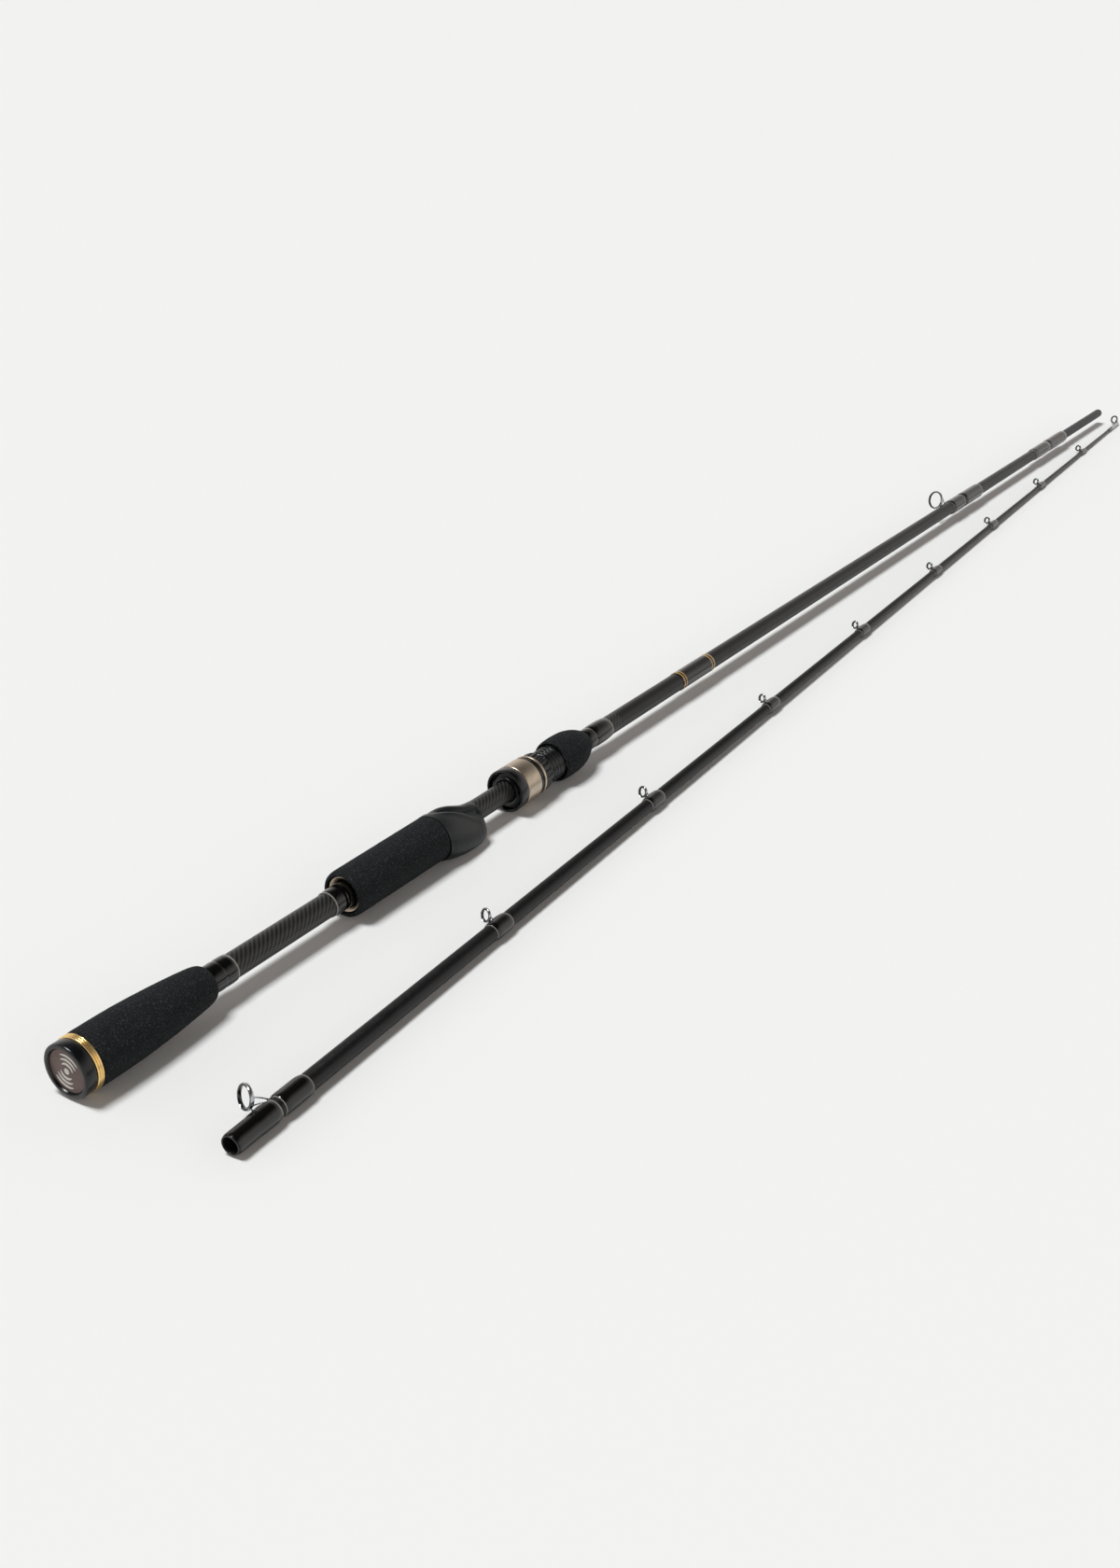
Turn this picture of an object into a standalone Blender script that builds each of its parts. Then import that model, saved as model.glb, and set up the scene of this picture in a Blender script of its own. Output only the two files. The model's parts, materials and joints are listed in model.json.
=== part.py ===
"""A two-piece casting rod with a trigger reel seat, lying down with its two sections side by side.

Lengths here are millimetres, and MM turns them into Blender's metres. Each section is built about its own
axis: in a section's frame +Z runs from its butt end to its tip end, +X is the side that the line guides
stand on, and the trigger is on -X. A station is a distance along a section from its butt end.
"""

import math

import bmesh
import bpy
from mathutils import Matrix, Vector

MM = 0.001
HANDLE_SIDES = 20
TIP_SIDES = 16
RING_SIDES = 16
FIT = 0.08  # radial gap between two glued pieces that share an axis and facets
JOIN = 0.3  # gap between two pieces end to end

# How the sections lie.
GUIDE_ROLL = math.radians(56)  # the guides' side, from straight up towards +Y
BUTT_TILT = 0.19  # degrees downwards: the section rests on its butt grip and its foregrip
BUTT_AXIS_HEIGHT = 13.82
TIP_MOUTH = (9.4, -84.0)  # the ferrule's mouth, from the middle of the butt cap's face
TIP_HEADING = 2.93  # degrees towards +Y
TIP_FLOOR_GAP = 0.02

# Butt section: (station, radius) along the blank, and the stations of what is on it.
BUTT_BLANK = [(0, 6.6), (300, 5.95), (430, 5.75), (1123, 4.38), (1190, 4.33)]
BLANK_START = 8.0
CAP_RADIUS = 13.2
CAP_LENGTH = 6.2
DISC_RADIUS = 10.6
DISC_DEPTH = 1.0
GOLD_RADIUS = 13.6
GOLD_END = 9.9
BUTT_GRIP_END = 84.0
BUTT_GRIP_WRAP_END = 99.0
REAR_GRIP_WRAP = (168.5, 182.0)
REAR_GRIP = (179.4, 251.8)
REAR_GRIP_RADIUS = 12.6
CHECK_RADIUS = 9.7
SEAT_END = 287.5
BARREL = (320.5, 366.0)
BARREL_BUSH_START = 334.0
THREAD_START = 330.0
THREAD_PITCH = 3.0
CREST_RADIUS = 10.1
ROOT_RADIUS = 9.3
HOOD = (317.8, 342.0)
HOOD_RADIUS = 12.3
HOOD_BORE = 10.35
NUT = (342.3, 348.8)
NUT_RADIUS = 11.4
NUT_RIBS = 20
FOREGRIP = (363.2, 396.0)
FOREGRIP_WRAP_END = 420.0
DECOR_WRAP = (502.3, 542.3)
FERRULE_WRAP = (1114.5, 1147.0, 1189.0)
SPIGOT = (1108.0, 1288.0)
SPIGOT_RADIUS = 3.7
FOOT_POCKET_WIDTH = 9.5

# Tip section.
TIP_LENGTH = 1282.0
TIP_BLANK = [(0, 4.7), (TIP_LENGTH, 0.9)]
SOCKET_RADIUS = 3.78
SOCKET_DEPTH = 100.0
SOCKET_WRAP_END = 27.6
TIP_TUBE = (1258.0, 1280.0)

# Guides. A ring leans with its top towards the tip.
LEAN = math.radians(25)
WRAP_BULGE = 0.8  # how far a guide's wrap stands out from the blank
FOOT_LIFT = 0.1  # gap between a guide's foot and the blank
FOOT_THICKNESS = 0.35
RING_LIFT = 0.95  # how far a low ring clears the blank
RING_BAND = 0.6  # thickness of the metal ring
INSERT_BAND = 0.75  # thickness of the hard ring inside it
SINGLE_GUIDES = [  # station, outer diameter of the ring
    (199.4, 7.6),
    (357.7, 6.9),
    (510.5, 6.0),
    (657.3, 5.8),
    (798.0, 5.8),
    (925.0, 5.8),
    (1048.6, 5.8),
    (1169.0, 5.8),
]


def clear_scene():
    for obj in list(bpy.data.objects):
        bpy.data.objects.remove(obj)


def make_collection(name):
    collection = bpy.data.collections.new(name)
    bpy.context.scene.collection.children.link(collection)
    return collection


def make_material(name, colour, roughness, metallic=0.0):
    material = bpy.data.materials.new(name)
    material.use_nodes = True
    shader = material.node_tree.nodes["Principled BSDF"]
    shader.inputs["Base Color"].default_value = (*colour, 1.0)
    shader.inputs["Roughness"].default_value = roughness
    shader.inputs["Metallic"].default_value = metallic
    return material


clear_scene()
PARTS = make_collection("casting_rod")
CUTTERS = make_collection("cutters")
FOAM = make_material("eva_foam", (0.018, 0.019, 0.020), 0.95)
CARBON = make_material("carbon_blank", (0.020, 0.020, 0.021), 0.45)
SEAT = make_material("soft_touch_seat", (0.035, 0.038, 0.040), 0.55)
BLACK = make_material("black_plastic", (0.012, 0.012, 0.013), 0.40)
CHAMPAGNE = make_material("champagne_metal", (0.52, 0.44, 0.36), 0.30, 1.0)
GOLD = make_material("gold_metal", (0.75, 0.52, 0.20), 0.22, 1.0)
BADGE = make_material("brown_badge", (0.110, 0.075, 0.070), 0.50)
THREAD = make_material("glossed_thread", (0.008, 0.008, 0.008), 0.12)
GUNMETAL = make_material("guide_metal", (0.32, 0.32, 0.33), 0.25, 1.0)
CERAMIC = make_material("ring_ceramic", (0.060, 0.062, 0.065), 0.18)
BUSH = make_material("arbor_composite", (0.10, 0.10, 0.10), 0.70)


def interpolate(taper, station):
    """Radius at a station, on straight runs between a taper's points."""
    for (start, first), (end, last) in zip(taper, taper[1:]):
        if station <= end:
            return first + (last - first) * (station - start) / (end - start)
    return taper[-1][1]


def butt_radius(station):
    return interpolate(BUTT_BLANK, station)


def tip_radius(station):
    return interpolate(TIP_BLANK, station)


def add(name, data, parent, material=None, cutter=False):
    """Link a new object of this data: a part with its material, or a hidden tool for a Boolean."""
    obj = bpy.data.objects.new(name, data)
    (CUTTERS if cutter else PARTS).objects.link(obj)
    obj.parent = parent
    obj.hide_render = cutter
    if cutter:
        obj.display_type = "WIRE"
    if material:
        data.materials.append(material)
    return obj


def turned(name, parent, outer, bore=(), material=None, sides=HANDLE_SIDES, cutter=False):
    """Turn an outline about the parent's +Z. outer and bore are (station, radius) points in rising order.

    Where the outer side starts or ends on the axis, or the bore does, the outline closes there.
    """
    outline = [(radius, station) for station, radius in reversed(outer)]
    outline += [(radius, station) for station, radius in bore]
    mesh = bpy.data.meshes.new(name)
    edges = [(i, i + 1) for i in range(len(outline) - 1)]
    if outline[0][0] > 0 and outline[-1][0] > 0:
        edges.append((len(outline) - 1, 0))
    mesh.from_pydata([(radius * MM, 0, station * MM) for radius, station in outline], edges, [])
    obj = add(name, mesh, parent, material, cutter)
    screw = obj.modifiers.new("turn", "SCREW")
    screw.axis = "Z"
    screw.angle = 2 * math.pi
    screw.steps = sides
    screw.render_steps = sides
    screw.use_smooth_shade = True
    screw.use_merge_vertices = True
    screw.merge_threshold = 0.00001
    return obj


def block(name, parent, low, high, cutter=True, material=None):
    """A box from its lowest to its highest corner, in the parent's frame."""
    mesh = bpy.data.meshes.new(name)
    shape = bmesh.new()
    size = [(b - a) * MM for a, b in zip(low, high)]
    middle = [(a + b) / 2 * MM for a, b in zip(low, high)]
    bmesh.ops.create_cube(shape, size=1.0, matrix=Matrix.LocRotScale(Vector(middle), None, Vector(size)))
    shape.to_mesh(mesh)
    shape.free()
    return add(name, mesh, parent, material, cutter)


def strut(name, parent, start, end, radius):
    """A round bar between two points of the parent's frame, used to build a guide's frame."""
    start = Vector(start) * MM
    end = Vector(end) * MM
    turn = Vector((0, 0, 1)).rotation_difference(end - start)
    mesh = bpy.data.meshes.new(name)
    shape = bmesh.new()
    bmesh.ops.create_cone(
        shape,
        cap_ends=True,
        segments=6,
        radius1=radius * MM,
        radius2=radius * MM,
        depth=(end - start).length,
        matrix=Matrix.LocRotScale((start + end) / 2, turn, None),
    )
    shape.to_mesh(mesh)
    shape.free()
    return add(name, mesh, parent, cutter=True)


def combine(obj, tool, operation):
    boolean = obj.modifiers.new(tool.name, "BOOLEAN")
    boolean.operation = operation
    boolean.object = tool
    boolean.solver = "EXACT"


def make_section(name, location, heading, tilt):
    """An empty whose +Z is a section's axis and whose +X is its guides' side."""
    heading = math.radians(heading)
    tilt = math.radians(tilt)
    axis = Vector((math.cos(heading) * math.cos(tilt), math.sin(heading) * math.cos(tilt), -math.sin(tilt)))
    left = Vector((-math.sin(heading), math.cos(heading), 0))
    upward = axis.cross(left)
    guides = upward * math.cos(GUIDE_ROLL) + left * math.sin(GUIDE_ROLL)
    side = axis.cross(guides)
    empty = bpy.data.objects.new(name, None)
    PARTS.objects.link(empty)
    turn = Matrix((guides, side, axis)).transposed()
    empty.matrix_world = Matrix.Translation(Vector(location) * MM) @ turn.to_4x4()
    return empty


def wrap(name, parent, taper, start, end, bulge, sides):
    """A thread wrap under clear coat: it swells from the blank and is rounded at both ends."""
    swell = [(0.0, 0.40), (0.15, 1.0), (0.75, 1.0), (1.0, 0.30)]
    length = end - start
    outer = [(start + t * length, interpolate(taper, start + t * length) + bulge * k) for t, k in swell]
    bore = [(s, interpolate(taper, s) + FIT) for s in (start, end)]
    return turned(name, parent, outer, bore, THREAD, sides)


# ---------------------------------------------------------------- butt section


def make_butt_end(section):
    edge = 0.9
    floor = DISC_DEPTH + 1.3
    stub = 4.6
    turned(
        "butt_cap",
        section,
        [
            (0, CAP_RADIUS - edge),
            (edge * 0.3, CAP_RADIUS - edge * 0.3),
            (edge, CAP_RADIUS),
            (CAP_LENGTH - 0.5, CAP_RADIUS),
            (CAP_LENGTH, CAP_RADIUS - 0.5),
            (CAP_LENGTH, stub),
            (40, stub),
            (40, 0),
        ],
        [(0, DISC_RADIUS + 0.5), (DISC_DEPTH, DISC_RADIUS + FIT), (floor, DISC_RADIUS + FIT), (floor, 0)],
        BLACK,
    )
    turned(
        "butt_cap_disc",
        section,
        [(DISC_DEPTH, 0), (DISC_DEPTH, DISC_RADIUS), (floor - 0.1, DISC_RADIUS), (floor - 0.1, 0)],
        material=BADGE,
    )
    start = CAP_LENGTH + 0.1
    end = GOLD_END
    middle = (start + end) / 2
    turned(
        "gold_ring",
        section,
        [
            (start, GOLD_RADIUS - 0.7),
            (start + 0.5, GOLD_RADIUS),
            (middle - 0.6, GOLD_RADIUS),
            (middle, GOLD_RADIUS - 0.5),
            (middle + 0.6, GOLD_RADIUS),
            (end - 0.5, GOLD_RADIUS),
            (end, GOLD_RADIUS - 0.7),
        ],
        [(start, butt_radius(0) + FIT), (end, butt_radius(0) + FIT)],
        GOLD,
    )
    start = GOLD_END + 0.2
    end = BUTT_GRIP_END
    turned(
        "butt_grip",
        section,
        [
            (start, 13.2),
            (start + 1.5, 13.7),
            (34, 13.5),
            (56, 12.3),
            (71, 11.0),
            (79, 10.1),
            (end - 1.5, 9.1),
            (end, 7.4),
        ],
        [(start, butt_radius(0) + FIT), (end, butt_radius(end) + FIT)],
        FOAM,
    )


def make_butt_blank(section):
    front = BUTT_BLANK[-1][0]
    outer = [(BLANK_START, butt_radius(BLANK_START))] + BUTT_BLANK[1:]
    socket = SPIGOT_RADIUS + FIT
    bore = [
        (BLANK_START, 4.7),
        (BUTT_BLANK[2][0], 4.7),
        (SPIGOT[0] - 6, 3.2),
        (SPIGOT[0] - JOIN, socket),
        (front, socket),
    ]
    turned("butt_blank", section, outer, bore, CARBON)
    turned(
        "spigot",
        section,
        [
            (SPIGOT[0], 0),
            (SPIGOT[0], SPIGOT_RADIUS - 0.2),
            (SPIGOT[0] + 2, SPIGOT_RADIUS),
            (front, SPIGOT_RADIUS),
            (SPIGOT[1] - 1.2, SPIGOT_RADIUS - 0.1),
            (SPIGOT[1], SPIGOT_RADIUS - 1.0),
            (SPIGOT[1], 0),
        ],
        material=CARBON,
    )


def make_rear_handle(section):
    wrap("wrap_butt_grip", section, BUTT_BLANK, BUTT_GRIP_END + JOIN, BUTT_GRIP_WRAP_END, 0.65, HANDLE_SIDES)
    wrap("wrap_rear_grip", section, BUTT_BLANK, *REAR_GRIP_WRAP, 0.7, HANDLE_SIDES)
    start, end = REAR_GRIP
    recess = start + 5.5
    hole = CHECK_RADIUS - 2.3
    turned(
        "winding_check",
        section,
        [(start + 1.4, CHECK_RADIUS - 0.4), (start + 1.8, CHECK_RADIUS), (recess - JOIN, CHECK_RADIUS)],
        [(start + 2.8, hole), (recess - JOIN, hole)],
        CHAMPAGNE,
    )
    turned(
        "rear_grip",
        section,
        [
            (start, CHECK_RADIUS + 0.7),
            (start + 0.5, REAR_GRIP_RADIUS - 1.1),
            (start + 2.0, REAR_GRIP_RADIUS - 0.25),
            (start + 4.5, REAR_GRIP_RADIUS),
            (end - 1.0, REAR_GRIP_RADIUS),
            (end, REAR_GRIP_RADIUS - 0.3),
        ],
        [
            (start, CHECK_RADIUS + 0.3),
            (recess, CHECK_RADIUS + 0.3),
            (recess, butt_radius(recess) + FIT),
            (end, butt_radius(end) + FIT),
        ],
        FOAM,
    )


# Station, top radius, half width and bottom radius of the seat body. Its bottom swells into the trigger.
SEAT_SECTIONS = [
    (252.1, 12.7, 12.5, 13.6),
    (256.0, 12.9, 12.3, 15.2),
    (261.0, 12.8, 11.7, 16.4),
    (266.0, 12.3, 10.8, 17.1),
    (271.0, 11.1, 9.8, 17.3),
    (275.0, 9.3, 9.0, 17.2),
    (279.0, 7.5, 8.3, 16.7),
    (282.5, 6.8, 7.8, 15.6),
    (285.3, 6.6, 7.2, 13.0),
    (286.8, 6.5, 6.7, 8.6),
    (SEAT_END, 6.5, 6.5, 6.5),
]


def seat_outline(top, half_width, bottom):
    """One closed section of the seat body. The trigger's side narrows towards its edge."""
    points = []
    narrowing = 0.55 * max(0.0, (bottom - top) / bottom)
    for i in range(HANDLE_SIDES):
        angle = 2 * math.pi * i / HANDLE_SIDES
        reach = top if math.cos(angle) > 0 else bottom
        keel = max(0.0, -math.cos(angle)) ** 2
        points.append((reach * math.cos(angle), half_width * math.sin(angle) * (1 - narrowing * keel)))
    return points


def make_seat_body(section):
    shape = bmesh.new()
    rings = []
    for station, top, half_width, bottom in SEAT_SECTIONS:
        outline = seat_outline(top, half_width, bottom)
        rings.append([shape.verts.new((x * MM, y * MM, station * MM)) for x, y in outline])
    for low, high in zip(rings, rings[1:]):
        for i in range(HANDLE_SIDES):
            j = (i + 1) % HANDLE_SIDES
            shape.faces.new((low[i], low[j], high[j], high[i]))
    shape.faces.new(list(reversed(rings[0])))
    shape.faces.new(rings[-1])
    mesh = bpy.data.meshes.new("seat_body")
    shape.to_mesh(mesh)
    shape.free()
    mesh.shade_smooth()
    mesh.set_sharp_from_angle(angle=math.radians(35))
    body = add("seat_body", mesh, section, SEAT)
    start = SEAT_SECTIONS[0][0]
    shoulder = 263.5
    outside = 8.6
    inside = butt_radius(shoulder) + FIT
    bore = turned(
        "seat_bore_cutter",
        section,
        [(start - 5, 0), (start - 5, outside), (shoulder, outside), (shoulder, inside), (SEAT_END + 5, inside)]
        + [(SEAT_END + 5, 0)],
        cutter=True,
    )
    half = FOOT_POCKET_WIDTH / 2
    pocket = block("seat_pocket_cutter", section, (5.2, -half, 266.0), (10.3, half, SEAT_END + 5))
    combine(body, bore, "DIFFERENCE")
    combine(body, pocket, "DIFFERENCE")
    turned(
        "seat_bush",
        section,
        [(start + 1.5, outside - FIT), (shoulder - JOIN, outside - FIT)],
        [(start + 1.5, inside), (shoulder - JOIN, inside)],
        BUSH,
    )


def make_barrel(section):
    start, end = BARREL
    crests = []
    station = THREAD_START
    while station + THREAD_PITCH < end - 0.8:
        crests.append((station, ROOT_RADIUS))
        crests.append((station + THREAD_PITCH * 0.5, CREST_RADIUS))
        crests.append((station + THREAD_PITCH * 0.8, CREST_RADIUS))
        station += THREAD_PITCH
    crests.append((station, ROOT_RADIUS))
    inside = butt_radius(start) + FIT
    outside = 7.6
    outer = [(start, CREST_RADIUS - 0.6), (start + 0.6, CREST_RADIUS), (THREAD_START - 1, CREST_RADIUS)]
    barrel = turned(
        "threaded_barrel",
        section,
        outer + crests + [(end, ROOT_RADIUS)],
        [(start, inside), (BARREL_BUSH_START, inside), (BARREL_BUSH_START, outside), (end, outside)],
        BLACK,
    )
    half = FOOT_POCKET_WIDTH / 2 - 0.4
    groove = block("barrel_groove_cutter", section, (4.8, -half, start - 5), (13.0, half, 331.0))
    combine(barrel, groove, "DIFFERENCE")
    turned(
        "barrel_bush",
        section,
        [(BARREL_BUSH_START + JOIN, outside - FIT), (end, outside - FIT)],
        [(BARREL_BUSH_START + JOIN, inside), (end, inside)],
        BUSH,
    )


def make_hood(section):
    """The hood that slides on the barrel, with the collar and ring pressed on it, and the nut that drives it."""
    start, end = HOOD
    rim = 324.4
    collar_end = 336.9
    groove_end = 340.4
    sleeve = 11.0
    turned(
        "hood",
        section,
        [
            (start, HOOD_RADIUS - 0.7),
            (start + 0.8, HOOD_RADIUS),
            (rim, HOOD_RADIUS),
            (rim, sleeve),
            (collar_end, sleeve),
            (collar_end, 11.4),
            (groove_end, 11.4),
            (groove_end, sleeve),
            (end, sleeve),
        ],
        [(start, 11.3), (start + 0.7, 10.8), (start + 3.5, 10.8), (start + 3.5, HOOD_BORE), (end, HOOD_BORE)],
        BLACK,
    )
    turned(
        "hood_collar",
        section,
        [
            (rim + 0.1, HOOD_RADIUS - 0.35),
            (rim + 0.6, HOOD_RADIUS),
            (collar_end - 0.6, HOOD_RADIUS),
            (collar_end - 0.1, HOOD_RADIUS - 0.35),
        ],
        [(rim + 0.1, sleeve + FIT), (collar_end - 0.1, sleeve + FIT)],
        CHAMPAGNE,
    )
    turned(
        "hood_ring",
        section,
        [(groove_end + 0.1, 11.9), (groove_end + 0.5, 12.1), (end - 0.4, 12.1), (end, 11.9)],
        [(groove_end + 0.1, sleeve + FIT), (end, sleeve + FIT)],
        CHAMPAGNE,
    )
    make_nut(section)


def make_nut(section):
    """The lock nut: a ribbed outline with a round bore, as a flat outline given depth."""
    curve = bpy.data.curves.new("lock_nut", "CURVE")
    curve.dimensions = "2D"
    curve.fill_mode = "BOTH"
    curve.extrude = (NUT[1] - NUT[0]) / 2 * MM
    outline = []
    for i in range(NUT_RIBS):
        for part, radius in ((0.0, NUT_RADIUS), (0.35, NUT_RADIUS), (0.5, 10.9), (0.85, 10.9)):
            angle = 2 * math.pi * (i + part) / NUT_RIBS
            outline.append((radius * math.cos(angle), radius * math.sin(angle)))
    hole = []
    for i in range(HANDLE_SIDES):
        angle = 2 * math.pi * i / HANDLE_SIDES
        hole.append((HOOD_BORE * math.cos(angle), HOOD_BORE * math.sin(angle)))
    for loop in (outline, hole):
        spline = curve.splines.new("POLY")
        spline.points.add(len(loop) - 1)
        for point, (x, y) in zip(spline.points, loop):
            point.co = (x * MM, y * MM, 0, 1)
        spline.use_cyclic_u = True
    nut = add("lock_nut", curve, section, BLACK)
    nut.location = (0, 0, (NUT[0] + NUT[1]) / 2 * MM)


def make_foregrip(section):
    start, end = FOREGRIP
    recess = 367.5
    hole = 10.7
    turned(
        "foregrip",
        section,
        [
            (start, 11.4),
            (start + 0.8, 12.0),
            (start + 4, 12.5),
            (start + 9, 12.6),
            (start + 14, 12.5),
            (start + 19.5, 11.9),
            (start + 24.5, 10.6),
            (start + 29, 8.6),
            (end, 6.6),
        ],
        [(start, hole), (recess, hole), (recess, butt_radius(recess) + FIT), (end, butt_radius(end) + FIT)],
        FOAM,
    )
    start = end + JOIN
    outer = [
        (start, 6.15),
        (start + 1.2, 6.45),
        (402.0, 6.45),
        (402.8, 6.2),
        (404.6, 6.65),
        (412.6, 6.7),
        (417.5, 6.45),
        (FOREGRIP_WRAP_END, 6.0),
    ]
    bore = [(s, butt_radius(s) + FIT) for s in (start, FOREGRIP_WRAP_END)]
    turned("wrap_foregrip", section, outer, bore, THREAD)
    wrap("wrap_decor", section, BUTT_BLANK, *DECOR_WRAP, 0.42, HANDLE_SIDES)


def make_ferrule_wrap(section):
    start, neck, end = FERRULE_WRAP
    outer = [
        (start, butt_radius(start) + 0.25),
        (start + 3, butt_radius(start) + 0.75),
        (neck - 3, butt_radius(neck) + 0.75),
        (neck, butt_radius(neck) + 0.35),
        (neck + 3, butt_radius(neck) + 0.85),
        (end - 3, butt_radius(end) + 0.85),
        (end, butt_radius(end) + 0.25),
    ]
    bend = BUTT_BLANK[3][0]
    bore = [(s, butt_radius(s) + FIT) for s in (start, bend, end)]
    turned("wrap_male_ferrule", section, outer, bore, THREAD)


# ---------------------------------------------------------------------- guides


def make_ring(name, parent, station, height, radius, depth):
    """The metal ring of a guide, and the hard ring held in it, both leaning by LEAN."""
    inner = radius - RING_BAND
    insert = inner - 0.06
    half = depth / 2
    frame = turned(
        name + "_frame",
        parent,
        [(-half, radius - 0.15), (0, radius), (half, radius - 0.15)],
        [(-half, inner), (half, inner)],
        GUNMETAL,
        RING_SIDES,
    )
    hard = turned(
        name + "_insert",
        parent,
        [(-half * 1.1, insert - 0.25), (0, insert), (half * 1.1, insert - 0.25)],
        [(-half * 0.5, insert - INSERT_BAND), (half * 0.5, insert - INSERT_BAND)],
        CERAMIC,
        RING_SIDES,
    )
    for obj in (frame, hard):
        obj.location = (height * MM, 0, station * MM)
        obj.rotation_euler = (0, -LEAN, 0)
    return frame


def foot(name, parent, taper, start, end, width):
    """A guide's foot: a thin strap along the guides' side of the blank, rising with its taper."""
    low_start = interpolate(taper, start) + FOOT_LIFT
    low_end = interpolate(taper, end) + FOOT_LIFT
    strap = block(name, parent, (0, -width / 2, start), (FOOT_THICKNESS, width / 2, end))
    for vertex in strap.data.vertices:
        vertex.co.x += (low_start if vertex.co.z < (start + end) / 2 * MM else low_end) * MM
    return strap


def slot(name, parent, taper, start, end, width):
    """The hollow that a foot leaves in a wrap."""
    top = interpolate(taper, start) + FOOT_LIFT + FOOT_THICKNESS + 0.1
    return block(name, parent, (0, -width / 2 - 0.15, start), (top, width / 2 + 0.15, end))


def make_single_guide(index, section, station, diameter):
    """A low ring on one foot, with the wrap that binds the foot to the blank under the ring."""
    name = f"guide_{index}"
    radius = diameter / 2
    height = tip_radius(station) + radius * math.cos(LEAN) + RING_LIFT
    ring_foot = station - radius * math.sin(LEAN)
    width = 0.26 * diameter
    wrap_start = station - 6.5
    wrap_end = station + 7.5
    foot_end = wrap_end - 3.0
    frame = make_ring(name, section, station, height, radius, 1.2)
    strap = foot(name + "_foot_tool", section, TIP_BLANK, ring_foot - 0.7, foot_end, width)
    combine(frame, strap, "UNION")
    low = tip_radius(ring_foot) + FOOT_LIFT + 0.1
    high = tip_radius(ring_foot) + RING_LIFT + 0.35
    neck_box = ((low, -width * 0.35, ring_foot - 0.45), (high, width * 0.35, ring_foot + 0.45))
    neck = block(name + "_neck_tool", section, *neck_box)
    combine(frame, neck, "UNION")
    binding = wrap(name + "_wrap", section, TIP_BLANK, wrap_start, wrap_end, WRAP_BULGE, TIP_SIDES)
    hollow = slot(name + "_slot_cutter", section, TIP_BLANK, ring_foot - 1.0, foot_end + JOIN, width)
    combine(binding, hollow, "DIFFERENCE")
    half = width / 2 + 0.15
    notch_box = ((low - 1.0, -half, ring_foot - 1.0), (high + 1.0, half, ring_foot + 1.4))
    notch = block(name + "_notch_cutter", section, *notch_box)
    combine(binding, notch, "DIFFERENCE")


def make_tall_guide(name, section, taper, ring, span, brace_station, width):
    """A tall ring on a long foot. ring is its station, height and diameter, and span is the foot's."""
    station, height, diameter = ring
    radius = diameter / 2
    frame = make_ring(name, section, station, height, radius, 1.7)
    strap = foot(name + "_foot_tool", section, taper, *span, width)
    combine(frame, strap, "UNION")
    bottom = station - radius * math.sin(LEAN)
    top = height - radius * math.cos(LEAN) + 0.05
    base = interpolate(taper, bottom) + FOOT_LIFT + FOOT_THICKNESS / 2
    neck = strut(name + "_neck_tool", section, (base, 0, bottom - 0.2), (top, 0, bottom), width * 0.32)
    combine(frame, neck, "UNION")
    low = interpolate(taper, brace_station) + FOOT_LIFT + FOOT_THICKNESS
    for side in (-1, 1):
        angle = math.radians(58)
        out = side * radius * math.sin(angle)
        down = radius * math.cos(angle)
        end = (height - down * math.cos(LEAN), out, station - down * math.sin(LEAN))
        start = (low, side * width * 0.3, brace_station)
        brace = strut(f"{name}_brace_tool_{side + 1}", section, start, end, 0.38)
        combine(frame, brace, "UNION")


def make_stripper(section):
    width = 2.3
    foot_span = (921.0, 984.0)
    make_tall_guide("stripper", section, BUTT_BLANK, (926.0, 11.7, 14.2), foot_span, 930.4, width)
    for name, start, end in (("rear", 931.8, 954.8), ("front", 956.2, 990.5)):
        binding = wrap(f"stripper_wrap_{name}", section, BUTT_BLANK, start, end, 0.95, HANDLE_SIDES)
        hollow_start = start - 3
        hollow_end = end + 3 if name == "rear" else foot_span[1] + JOIN
        hollow = slot(f"stripper_slot_{name}_cutter", section, BUTT_BLANK, hollow_start, hollow_end, width)
        combine(binding, hollow, "DIFFERENCE")


# ----------------------------------------------------------------- tip section


def make_tip_blank(section):
    outer = [(s, r) for s, r in TIP_BLANK] + [(TIP_LENGTH, 0)]
    bore = [
        (0, SOCKET_RADIUS + 0.25),
        (1.0, SOCKET_RADIUS),
        (SOCKET_DEPTH, SOCKET_RADIUS),
        (SOCKET_DEPTH + 2, SOCKET_RADIUS - 0.6),
        (900, 1.1),
        (902, 0),
    ]
    turned("tip_blank", section, outer, bore, CARBON, TIP_SIDES)


def make_ferrule_guide(section):
    """The first guide of the tip section: its rear foot lies under the ferrule's wrap."""
    width = 1.9
    foot_span = (17.0, 44.5)
    make_tall_guide("guide_1", section, TIP_BLANK, (22.1, 11.8, 12.0), foot_span, 29.2, width)
    end = SOCKET_WRAP_END
    outer = [
        (0.6, tip_radius(0) + 0.2),
        (1.6, tip_radius(0) + 0.5),
        (14, tip_radius(14) + 0.55),
        (20, tip_radius(20) + 0.8),
        (end - 2, tip_radius(end) + 0.75),
        (end, tip_radius(end) + 0.3),
    ]
    bore = [(0.6, tip_radius(0.6) + FIT), (end, tip_radius(end) + FIT)]
    binding = turned("wrap_female_ferrule", section, outer, bore, THREAD, TIP_SIDES)
    hollow = slot("ferrule_slot_cutter", section, TIP_BLANK, 16.8, end + 3, width)
    combine(binding, hollow, "DIFFERENCE")
    notch = block("ferrule_notch_cutter", section, (4, -width / 2 - 0.15, 16.8), (8, width / 2 + 0.15, 21.0))
    combine(binding, notch, "DIFFERENCE")
    front = wrap("guide_1_wrap", section, TIP_BLANK, 30.6, 48.8, WRAP_BULGE, TIP_SIDES)
    hollow = slot("guide_1_slot_cutter", section, TIP_BLANK, 28.0, foot_span[1] + JOIN, width)
    combine(front, hollow, "DIFFERENCE")


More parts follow.
